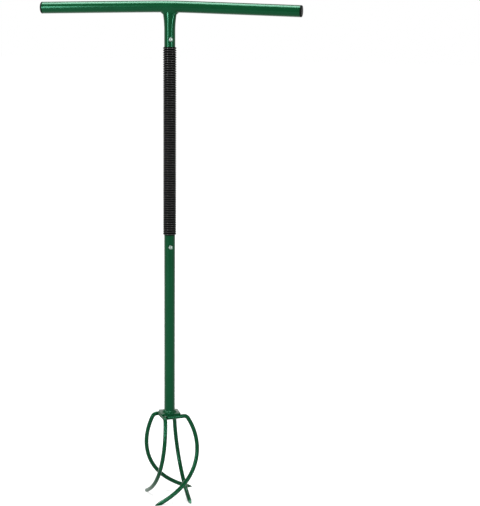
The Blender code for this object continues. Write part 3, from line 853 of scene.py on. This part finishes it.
def bare_steel(finish):
    darker = [0.7 * part for part in finish.steel]
    return dress(
        "bare_steel", (finish.steel, darker), drift=(40.0, 0.7),
        roughness=(0.22, 0.14, 0.16), relief=(260.0, 1800.0, 0.3), bump=(0.35, 0.00005),
        metallic=1.0,
    )


def button_plating(finish):
    darker = [0.82 * part for part in finish.plating]
    return dress(
        "button_plating", (finish.plating, darker), drift=(160.0, 0.5),
        roughness=(0.24, 0.1, 0.1), relief=(600.0, 3000.0, 0.4), bump=(0.3, 0.00003),
        metallic=1.0,
    )


def floor_material(finish):
    """Lit as a pale floor and raised to white for the camera, glossy and clear surfaces."""
    material, tree, shader, coordinates = new_material("studio_floor")
    seen = seen_directly(tree)
    distance = node(tree, "ShaderNodeVectorMath", (
        (0, coordinates.outputs["Object"]),
    ), operation="LENGTH")
    spread = node(tree, "ShaderNodeMapRange", (
        ("Value", distance.outputs["Value"]), ("From Min", FLOOR_FADE[0]),
        ("From Max", FLOOR_FADE[1]), ("To Min", FLOOR_GLOW[0]), ("To Max", FLOOR_GLOW[1]),
    ), interpolation_type="SMOOTHSTEP")
    glow = node(tree, "ShaderNodeMath", (
        (0, seen), (1, spread.outputs["Result"]),
    ), operation="MULTIPLY")
    darker = [0.985 * part for part in finish.floor]
    grain = use_group(tree, "Colour Drift", coordinates, (
        ("Color", (*finish.floor, 1.0)), ("Drift Color", (*darker, 1.0)), ("Scale", 3.0),
        ("Amount", 1.0),
    ))
    tree.links.new(grain.outputs["Color"], shader.inputs["Base Color"])
    shader.inputs["Roughness"].default_value = 0.9
    shader.inputs["Specular IOR Level"].default_value = 0.0
    shader.inputs["Emission Color"].default_value = (1.0, 1.0, 1.0, 1.0)
    tree.links.new(glow.outputs[0], shader.inputs["Emission Strength"])
    return material


# Operators


class CULTIVATOR_OT_handlebar(bpy.types.Operator):
    """Add the arched handlebar, a tube with slightly rounded ends."""

    bl_idname = "cultivator.handlebar"
    bl_label = "Handlebar"
    bl_options = {"REGISTER", "UNDO"}

    def execute(self, context):
        settings = context.scene.cultivator
        bar = settings.handle
        radius = bar.diameter / 2
        end = bar.length / 2 - bar.plug_head - SEAT_GAP
        # Stations stand at even slants of the bend, then at even steps to the end of the arm.
        slants, slant_step, end_stretch, end_steps = 19, 4.0, 0.03, 6
        half = [bar.bend_span * math.tan(math.radians(slant_step * i))
                for i in range(1, slants + 1)]
        half = [x for x in half if x < end - end_stretch]
        start, last = half[-1], end - BAR_EDGE
        half += [start + (last - start) * (i + 1) / end_steps for i in range(end_steps)]
        stations = [-x for x in reversed(half)] + [0.0] + half
        outer = [handle_ring(bar, x, radius) for x in stations]
        outer.insert(0, handle_ring(bar, -end, radius - BAR_EDGE))
        outer.append(handle_ring(bar, end, radius - BAR_EDGE))
        inner = [handle_ring(bar, x, radius - bar.wall) for x in (end, 0.0, -end)]
        add_piece("bar_tube", loft(outer + inner, closed=True), green_enamel(settings.finish),
                  "handlebar")
        return {"FINISHED"}


class CULTIVATOR_OT_end_plugs(bpy.types.Operator):
    """Add the dark plastic plugs in the handlebar's ends."""

    bl_idname = "cultivator.end_plugs"
    bl_label = "End Plugs"
    bl_options = {"REGISTER", "UNDO"}

    def execute(self, context):
        settings = context.scene.cultivator
        bar = settings.handle
        head = bar.diameter / 2
        shank = head - bar.wall - SEAT_GAP
        lead_in, face_ring, hub = 0.001, 0.004, 0.0006
        profile = [(shank - lead_in, -bar.plug_shank), (shank, lead_in - bar.plug_shank),
                   (shank, 0.0), (head - PLUG_EDGE, 0.0), (head, PLUG_EDGE)]
        for turn in quarter_turn(PLUG_RIM_STEPS):
            profile.append((head - bar.plug_rim * (1.0 - math.cos(turn)),
                            bar.plug_head - bar.plug_rim * (1.0 - math.sin(turn))))
        profile += [(head - bar.plug_rim - face_ring, bar.plug_head), (hub, bar.plug_head)]
        across = Vector((0.0, 1.0, 0.0))
        for name, side in (("left", -1), ("right", 1)):
            seat = side * (bar.length / 2 - bar.plug_head)
            out = side * handle_direction(bar, seat)
            place = placed(handle_point(bar, seat), across.cross(out), across, out)
            add_piece(name + "_end_plug", turned(profile, TUBE_SIDES),
                      plug_plastic(settings.finish), "handlebar_end_cap_" + name,
                      place=place)
        return {"FINISHED"}


class CULTIVATOR_OT_stem(bpy.types.Operator):
    """Add the short tube under the handlebar, its top flattened wide and cut to the bar."""

    bl_idname = "cultivator.stem"
    bl_label = "Handle Stem"
    bl_options = {"REGISTER", "UNDO"}

    def execute(self, context):
        settings = context.scene.cultivator
        bar, shaft = settings.handle, settings.shaft
        hole_z = BUTTON_Z["upper"]
        plain_step = 0.003
        underside = HANDLE_TOP_Z - bar.diameter
        flare_start = underside - shaft.flare_length
        heights = heights_round_hole(shaft, STEM_BOTTOM_Z + TUBE_EDGE, flare_start, hole_z,
                                     plain_step)
        heights += [underside - shaft.flare_length * (1.0 - i / FLARE_STEPS)
                    for i in range(1, FLARE_STEPS)]
        bore = [underside - 0.5 * shaft.flare_length, flare_start,
                *reversed(heights_across_hole(shaft, hole_z)), STEM_BOTTOM_Z]
        outer = [stem_ring(bar, shaft, STEM_BOTTOM_Z, TUBE_EDGE)]
        outer += [stem_ring(bar, shaft, height, 0.0) for height in heights]
        outer.append([under_bar(bar, point) for point in stem_ring(bar, shaft, underside, 0.0)])
        inner = [[under_bar(bar, point) for point in stem_ring(bar, shaft, underside, shaft.wall)]]
        inner += [stem_ring(bar, shaft, height, shaft.wall) for height in bore]
        add_piece("stem_tube", holed_tube(shaft, outer, inner, hole_z),
                  green_enamel(settings.finish), "handle_stem")
        return {"FINISHED"}


class CULTIVATOR_OT_handle_weld(bpy.types.Operator):
    """Add the uneven weld bead between the stem and the handlebar."""

    bl_idname = "cultivator.handle_weld"
    bl_label = "Handle Weld"
    bl_options = {"REGISTER", "UNDO"}

    def execute(self, context):
        settings = context.scene.cultivator
        bar, shaft = settings.handle, settings.shaft
        hollow_power = 2.2
        flats = stem_ring(bar, shaft, HANDLE_TOP_Z - bar.diameter, 0.0, BAR_BEAD_RINGS)
        rings = []
        along = 0.0
        for i, point in enumerate(flats):
            flat = Vector((point.x, point.y, 0.0))
            ahead = flats[(i + 1) % len(flats)] - flats[i - 1]
            normal = Vector((ahead.y, -ahead.x, 0.0)).normalized()
            along += ahead.length / 2
            reach = bar.weld_across + (bar.weld_along - bar.weld_across) * abs(normal.x)
            grown = bead_share(flat, along, level=0.86, seed=3.1, patch=0.0045, uneven=0.20,
                               scales=0.08, pitch=0.0021)
            ring = []
            for turn in quarter_turn(BEAD_STEPS):
                out = reach * grown * math.cos(turn) ** hollow_power
                down = bar.weld_down * grown * math.sin(turn) ** hollow_power
                ring.append(under_bar(bar, flat + normal * out, 0.0) - Vector((0, 0, down)))
            ring.append(under_bar(bar, flat, 0.0))
            rings.append(ring)
        add_piece("bar_weld_bead", loft(rings, closed=True), weld_enamel(settings.finish),
                  "handle_weld", sharp=BEAD_SHARP_ANGLE)
        return {"FINISHED"}


class CULTIVATOR_OT_sleeve(bpy.types.Operator):
    """Add the ribbed rubber sleeve."""

    bl_idname = "cultivator.sleeve"
    bl_label = "Ribbed Sleeve"
    bl_options = {"REGISTER", "UNDO"}

    def execute(self, context):
        settings = context.scene.cultivator
        shaft = settings.shaft
        pitch = (SLEEVE_TOP_Z - SLEEVE_BOTTOM_Z) / shaft.rib_count
        valley, crest = shaft.valley_diameter / 2, shaft.rib_diameter / 2
        bore = shaft.diameter / 2 - shaft.wall
        # The sleeve's ends nearly close the gap to the tubes, so that no steel shows there.
        lip = 0.8 * SEAT_GAP
        bottom, top = SLEEVE_BOTTOM_Z - lip, SLEEVE_TOP_Z + lip
        rib_start, rib_share, rib_fullness = 0.04, 0.92, 1.5
        profile = [(bore, bottom), (valley, bottom)]
        for i in range(shaft.rib_count):
            for k in range(1, RIB_STEPS + 1):
                turn = math.pi * k / RIB_STEPS
                share = (1.0 - math.cos(turn)) / 2
                height = SLEEVE_BOTTOM_Z + pitch * (i + rib_start + rib_share * share)
                rise = math.sin(turn) ** rib_fullness
                profile.append((valley + (crest - valley) * rise, height))
        profile[-1:] = [(valley, top), (bore, top)]
        add_piece("ribbed_sleeve", turned(profile, SLEEVE_SIDES, closed=True),
                  sleeve_rubber(settings.finish, shaft), "grip_sleeve",
                  sharp=RIB_SHARP_ANGLE)
        return {"FINISHED"}


class CULTIVATOR_OT_lower_tube(bpy.types.Operator):
    """Add the painted lower tube of the shaft, with the lower button's hole."""

    bl_idname = "cultivator.lower_tube"
    bl_label = "Lower Tube"
    bl_options = {"REGISTER", "UNDO"}

    def execute(self, context):
        settings = context.scene.cultivator
        shaft = settings.shaft
        hole_z = BUTTON_Z["lower"]
        plain_step = 0.012
        radius = shaft.diameter / 2
        bottom, top = LOWER_TUBE_BOTTOM_Z, LOWER_TUBE_TOP_Z
        heights = heights_round_hole(shaft, bottom, top - TUBE_EDGE, hole_z, plain_step)
        bore = [top, *reversed(heights_across_hole(shaft, hole_z)), bottom]
        turn = Matrix.Rotation(shaft.button_angle, 3, "Z")

        def ring(size, height):
            return [turn @ point for point in oval(size, size, height, TUBE_SIDES)]

        outer = [ring(radius, height) for height in heights] + [ring(radius - TUBE_EDGE, top)]
        inner = [ring(radius - shaft.wall, height) for height in bore]
        add_piece("shaft_tube", holed_tube(shaft, outer, inner, hole_z),
                  green_enamel(settings.finish), "lower_tube")
        return {"FINISHED"}


class CULTIVATOR_OT_shaft_weld(bpy.types.Operator):
    """Add the lumpy weld bead round the shaft's foot."""

    bl_idname = "cultivator.shaft_weld"
    bl_label = "Foot Weld"
    bl_options = {"REGISTER", "UNDO"}

    def execute(self, context):
        settings = context.scene.cultivator
        shaft = settings.shaft
        radius = shaft.diameter / 2
        hollow_power = 1.5
        rings = []
        for turn in full_turn(FOOT_BEAD_RINGS):
            out = Vector((math.cos(turn), math.sin(turn), 0.0))
            spot, along = out * radius, turn * radius
            wide = bead_share(spot, along, level=0.80, seed=7.7, patch=0.0050, uneven=0.30,
                              scales=0.08, pitch=0.0024)
            tall = bead_share(spot, along, level=0.80, seed=1.3, patch=0.0042, uneven=0.34,
                              scales=0.10, pitch=0.0024)
            ring = []
            for slant in quarter_turn(BEAD_STEPS):
                far = shaft.weld_out * min(wide, 1.0) * math.cos(slant) ** hollow_power
                high = shaft.weld_up * min(tall, 1.0) * math.sin(slant) ** hollow_power
                ring.append(out * (radius + far) + Vector((0.0, 0.0, PLATE_TOP_Z + high)))
            ring.append(out * radius + Vector((0.0, 0.0, PLATE_TOP_Z)))
            rings.append(ring)
        add_piece("foot_weld_bead", loft(rings, closed=True), weld_enamel(settings.finish),
                  "shaft_weld", sharp=BEAD_SHARP_ANGLE)
        return {"FINISHED"}


class CULTIVATOR_OT_plate(bpy.types.Operator):
    """Add the thin square plate, with round corners and softened edges."""

    bl_idname = "cultivator.plate"
    bl_label = "Base Plate"
    bl_options = {"REGISTER", "UNDO"}

    def execute(self, context):
        settings = context.scene.cultivator
        claw = settings.claw
        inset = claw.plate_side / 2 - claw.plate_corner
        edge = claw.plate_edge
        outline = []
        for quarter, (x, y) in enumerate(((1, 1), (-1, 1), (-1, -1), (1, -1))):
            for i in range(CORNER_STEPS + 1):
                turn = math.pi / 2 * (quarter + i / CORNER_STEPS)
                outline.append((Vector((x * inset, y * inset, 0.0)),
                                Vector((math.cos(turn), math.sin(turn), 0.0))))
        rings = []
        for middle, sign in ((PLATE_BOTTOM_Z + edge, -1), (PLATE_TOP_Z - edge, 1)):
            for i in range(EDGE_STEPS + 1):
                share = i / EDGE_STEPS
                turn = math.pi / 2 * (share if sign > 0 else 1 - share)
                reach = claw.plate_corner - edge * (1.0 - math.cos(turn))
                height = Vector((0.0, 0.0, middle + sign * edge * math.sin(turn)))
                rings.append([corner + out * reach + height for corner, out in outline])
        add_piece("claw_plate", loft(rings), green_enamel(settings.finish), "base_plate",
                  place=Matrix.Rotation(claw.plate_angle, 4, "Z"))
        return {"FINISHED"}


class CULTIVATOR_OT_tines(bpy.types.Operator):
    """Add the four bent rods with their ground points."""

    bl_idname = "cultivator.tines"
    bl_label = "Tines"
    bl_options = {"REGISTER", "UNDO"}

    def execute(self, context):
        settings = context.scene.cultivator
        claw = settings.claw
        level = Matrix.Translation((0.0, 0.0, PLATE_BOTTOM_Z - SEAT_GAP - claw.rod_diameter / 2))
        for index, rod in enumerate(RODS):
            mesh = rod_mesh(claw, index)
            mesh.transform(level @ rod_frame(claw, index, rod.lean))
            # The finer rod reaches up to 0.5 mm past its node, so it is held to the node's box.
            low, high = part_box("tine_" + rod.name)
            for vert in mesh.verts:
                for axis in range(3):
                    vert.co[axis] = min(max(vert.co[axis], low[axis]), high[axis])
            add_piece("rod_" + rod.name, mesh, green_enamel(settings.finish), "tine_" + rod.name)
        return {"FINISHED"}


class CULTIVATOR_OT_tine_welds(bpy.types.Operator):
    """Add the uneven beads that hold the rods under the plate."""

    bl_idname = "cultivator.tine_welds"
    bl_label = "Tine Welds"
    bl_options = {"REGISTER", "UNDO"}

    def execute(self, context):
        settings = context.scene.cultivator
        claw = settings.claw
        radius = claw.rod_diameter / 2
        level = Matrix.Translation((0.0, 0.0, PLATE_BOTTOM_Z - SEAT_GAP - radius))
        count = len(RODS)
        steps, sides = 70, 16
        tucked_under, stops_short, beside_rod, below_plate = 0.0026, 0.0015, 0.0007, 0.0010
        full_size, least_size, squat, blunt, noise_apart = 0.00145, 0.0001, 1.25, 6, 0.05
        for index, rod in enumerate(RODS):
            near, near_half = back_to_crossing(claw, index, (index - 1) % count,
                                               radius + stops_short)
            far, far_half = back_to_crossing(claw, index, (index + 1) % count,
                                             radius - tucked_under)
            start, end = far_half - far, -near - near_half
            rings = []
            for i in range(steps + 1):
                share = i / steps
                along = start + (end - start) * share
                closed = math.sqrt(max(0.0, 1.0 - (2.0 * share - 1.0) ** blunt))
                spot = Vector((along, index * noise_apart, 0.0))
                size = full_size * bead_share(spot, along, level=1.0, seed=5.0, patch=0.004,
                                              uneven=0.5, scales=0.14, pitch=0.0019)
                size = max(size * closed, least_size)
                centre = Vector((along, radius + beside_rod, radius - below_plate))
                rings.append([centre + Vector((0.0, squat * size * math.cos(turn),
                                               size * math.sin(turn)))
                              for turn in full_turn(sides)])
            add_piece("rod_" + rod.name + "_weld_bead", loft(rings),
                      weld_enamel(settings.finish), "tine_" + rod.name + "_weld",
                      place=level @ rod_frame(claw, index, 0.0), sharp=BEAD_SHARP_ANGLE)
        return {"FINISHED"}


class CULTIVATOR_OT_buttons(bpy.types.Operator):
    """Add the two plated snap buttons, each on its own body."""

    bl_idname = "cultivator.buttons"
    bl_label = "Snap Buttons"
    bl_options = {"REGISTER", "UNDO"}

    def execute(self, context):
        settings = context.scene.cultivator
        shaft = settings.shaft
        radius = shaft.button_diameter / 2
        tip = shaft.diameter / 2 + shaft.button_rise
        flange_top = shaft.diameter / 2 - shaft.flange_depth
        flange_radius = radius + shaft.button_flange
        flange_bottom = flange_top - shaft.button_flange
        last_turn, fullness = math.radians(88.0), 0.8
        profile = [(flange_radius - BUTTON_EDGE, flange_bottom),
                   (flange_radius, flange_bottom + BUTTON_EDGE), (flange_radius, flange_top),
                   (radius, flange_top)]
        for i in range(DOME_STEPS + 1):
            turn = last_turn * i / DOME_STEPS
            profile.append((radius * math.cos(turn) ** fullness,
                            tip - shaft.button_dome * (1.0 - math.sin(turn))))
        for name, height in BUTTON_Z.items():
            add_piece(name + "_button_pin", turned(profile, BUTTON_SIDES),
                      button_plating(settings.finish), name + "_snap_button",
                      body=name + "_button",
                      place=button_place(shaft, height))
        return {"FINISHED"}


class CULTIVATOR_OT_springs(bpy.types.Operator):
    """Add the bent leaf springs behind the buttons, which on the real tool close as a button goes
    in; here they keep their open shape.
    """

    bl_idname = "cultivator.springs"
    bl_label = "Leaf Springs"
    bl_options = {"REGISTER", "UNDO"}

    def execute(self, context):
        settings = context.scene.cultivator
        shaft = settings.shaft
        half = shaft.leaf_thickness / 2
        at_button = shaft.diameter / 2 - shaft.leaf_depth
        at_wall = shaft.leaf_wall_depth - shaft.diameter / 2
        bend = shaft.leaf_bend
        curl_length, curl_depth = 0.0012, 0.0006
        path = [(shaft.leaf_past, at_button - curl_depth),
                (shaft.leaf_past - curl_length, at_button), (-shaft.leaf_past, at_button)]
        for i in range(LEAF_BEND_STEPS + 1):
            turn = math.pi * i / LEAF_BEND_STEPS
            path.append((-shaft.leaf_leg - bend * math.sin(turn), bend * math.cos(turn)))
        path += [(-shaft.leaf_past, at_wall), (shaft.leaf_past, at_wall)]
        points = [Vector((along, 0.0, out)) for along, out in path]
        side = Vector((0.0, 1.0, 0.0))
        wide, edge = shaft.leaf_width / 2, 0.3 * half
        section = ((-wide, edge - half), (edge - wide, -half), (wide - edge, -half),
                   (wide, edge - half), (wide, half - edge), (wide - edge, half),
                   (edge - wide, half), (-wide, half - edge))
        rings = []
        for i, point in enumerate(points):
            ahead = points[min(i + 1, len(points) - 1)] - points[max(i - 1, 0)]
            normal = ahead.normalized().cross(side)
            rings.append([point + side * a + normal * b for a, b in section])
        for name, height in BUTTON_Z.items():
            place = button_place(shaft, height)
            piece = add_piece(name + "_leaf_spring", loft(rings), bare_steel(settings.finish),
                              name + "_button_spring", place=place)
            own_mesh(piece)
        return {"FINISHED"}


class CULTIVATOR_OT_inner_tube(bpy.types.Operator):
    """Give the connecting tube inside the shaft its steel finish."""

    bl_idname = "cultivator.inner_tube"
    bl_label = "Inner Tube"
    bl_options = {"REGISTER", "UNDO"}

    def execute(self, context):
        settings = context.scene.cultivator
        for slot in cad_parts["middle_tube"].material_slots:
            slot.material = bare_steel(settings.finish)
        return {"FINISHED"}


class CULTIVATOR_OT_studio(bpy.types.Operator):
    """Add the floor, the lamps, the surrounding light and the camera."""

    bl_idname = "cultivator.studio"
    bl_label = "Studio"
    bl_options = {"REGISTER", "UNDO"}

    def execute(self, context):
        settings = context.scene.cultivator
        stage = settings.stage
        bpy.context.scene.view_settings.view_transform = "Standard"
        self.add_floor(settings.finish)
        self.light_world(stage)
        for name, side, width in STRIPS:
            around = stage.azimuth + side * stage.strip_spread
            place = Vector((STRIP_DISTANCE * math.sin(around), -STRIP_DISTANCE * math.cos(around),
                            STRIP_Z))
            self.add_lamp(name, place, (width, STRIP_LENGTH), stage.strip_glow, STRIP_AIM)
        self.add_lamp("ceiling", CEILING_PLACE, CEILING_SIZE, stage.ceiling_glow, CEILING_AIM)
        self.add_camera(stage)
        return {"FINISHED"}

    def add_floor(self, finish):
        mesh = bmesh.new()
        bmesh.ops.create_grid(mesh, x_segments=FLOOR_SQUARES, y_segments=FLOOR_SQUARES,
                              size=FLOOR_REACH)
        data = bpy.data.meshes.new("studio_floor")
        mesh.to_mesh(data)
        mesh.free()
        data.materials.append(floor_material(finish))
        floor = bpy.data.objects.new("studio_floor", data)
        floor.location.z = FLOOR_Z - FLOOR_GAP
        bpy.context.scene.collection.objects.link(floor)

    def light_world(self, stage):
        """White wherever the camera, gloss or clear surfaces see it, an even fill otherwise."""
        world = bpy.data.worlds.new("studio_surround")
        world.use_nodes = True
        tree = world.node_tree
        level = node(tree, "ShaderNodeMix", (
            (0, seen_directly(tree)), (2, stage.fill), (3, 1.0),
        ), data_type="FLOAT")
        background = tree.nodes["Background"]
        background.inputs["Color"].default_value = (1.0, 1.0, 1.0, 1.0)
        tree.links.new(level.outputs[0], background.inputs["Strength"])
        bpy.context.scene.world = world

    def add_lamp(self, name, place, size, glow, target):
        light = bpy.data.lights.new(name, "AREA")
        light.shape = "RECTANGLE"
        light.size, light.size_y = size
        light.energy = glow * math.pi * size[0] * size[1]
        lamp = bpy.data.objects.new(name, light)
        lamp.location = place
        lamp.rotation_euler = (place - target).to_track_quat("Z", "Y").to_euler()
        lamp.visible_camera = False
        bpy.context.scene.collection.objects.link(lamp)

    def add_camera(self, stage):
        data = bpy.data.cameras.new("camera")
        data.lens = stage.lens
        data.clip_end = 100.0
        camera = bpy.data.objects.new("camera", data)
        aim = Euler((math.pi / 2 - stage.aim_down, 0.0, stage.azimuth - stage.aim_right))
        camera.matrix_world = Matrix.Translation((
            stage.distance * math.sin(stage.azimuth), -stage.distance * math.cos(stage.azimuth),
            stage.height,
        )) @ aim.to_matrix().to_4x4() @ Matrix.Rotation(stage.roll, 4, "Z")
        bpy.context.scene.collection.objects.link(camera)
        bpy.context.scene.camera = camera


PIECE_OPERATORS = (
    CULTIVATOR_OT_handlebar,
    CULTIVATOR_OT_end_plugs,
    CULTIVATOR_OT_stem,
    CULTIVATOR_OT_handle_weld,
    CULTIVATOR_OT_sleeve,
    CULTIVATOR_OT_lower_tube,
    CULTIVATOR_OT_shaft_weld,
    CULTIVATOR_OT_plate,
    CULTIVATOR_OT_tines,
    CULTIVATOR_OT_tine_welds,
    CULTIVATOR_OT_buttons,
    CULTIVATOR_OT_springs,
    CULTIVATOR_OT_inner_tube,
    CULTIVATOR_OT_studio,
)

SIZE_GROUPS = (
    CultivatorHandle, CultivatorShaft, CultivatorClaw, CultivatorFinish, CultivatorStage,
    CultivatorSettings,
)


class CULTIVATOR_PT_panel(bpy.types.Panel):
    """Lists the pieces and what a user can change."""

    bl_idname = "CULTIVATOR_PT_panel"
    bl_label = "Garden Cultivator"
    bl_space_type = "VIEW_3D"
    bl_region_type = "UI"
    bl_category = "Cultivator"

    def draw(self, context):
        settings = context.scene.cultivator
        column = self.layout.column(align=True)
        for operator in PIECE_OPERATORS:
            column.operator(operator.bl_idname)
        for name in CultivatorSettings.__annotations__:
            group = getattr(settings, name)
            box = self.layout.box()
            box.label(text=name.title())
            for key in group.__annotations__:
                box.prop(group, key)


CLASSES = SIZE_GROUPS + PIECE_OPERATORS + (CULTIVATOR_PT_panel,)


def register():
    for item in CLASSES:
        bpy.utils.register_class(item)
    bpy.types.Scene.cultivator = PointerProperty(type=CultivatorSettings)


def unregister():
    del bpy.types.Scene.cultivator
    for item in reversed(CLASSES):
        bpy.utils.unregister_class(item)


def main():
    register()
    for operator in PIECE_OPERATORS:
        getattr(bpy.ops.cultivator, operator.bl_idname.removeprefix("cultivator."))()


if __name__ == "__main__":
    main()
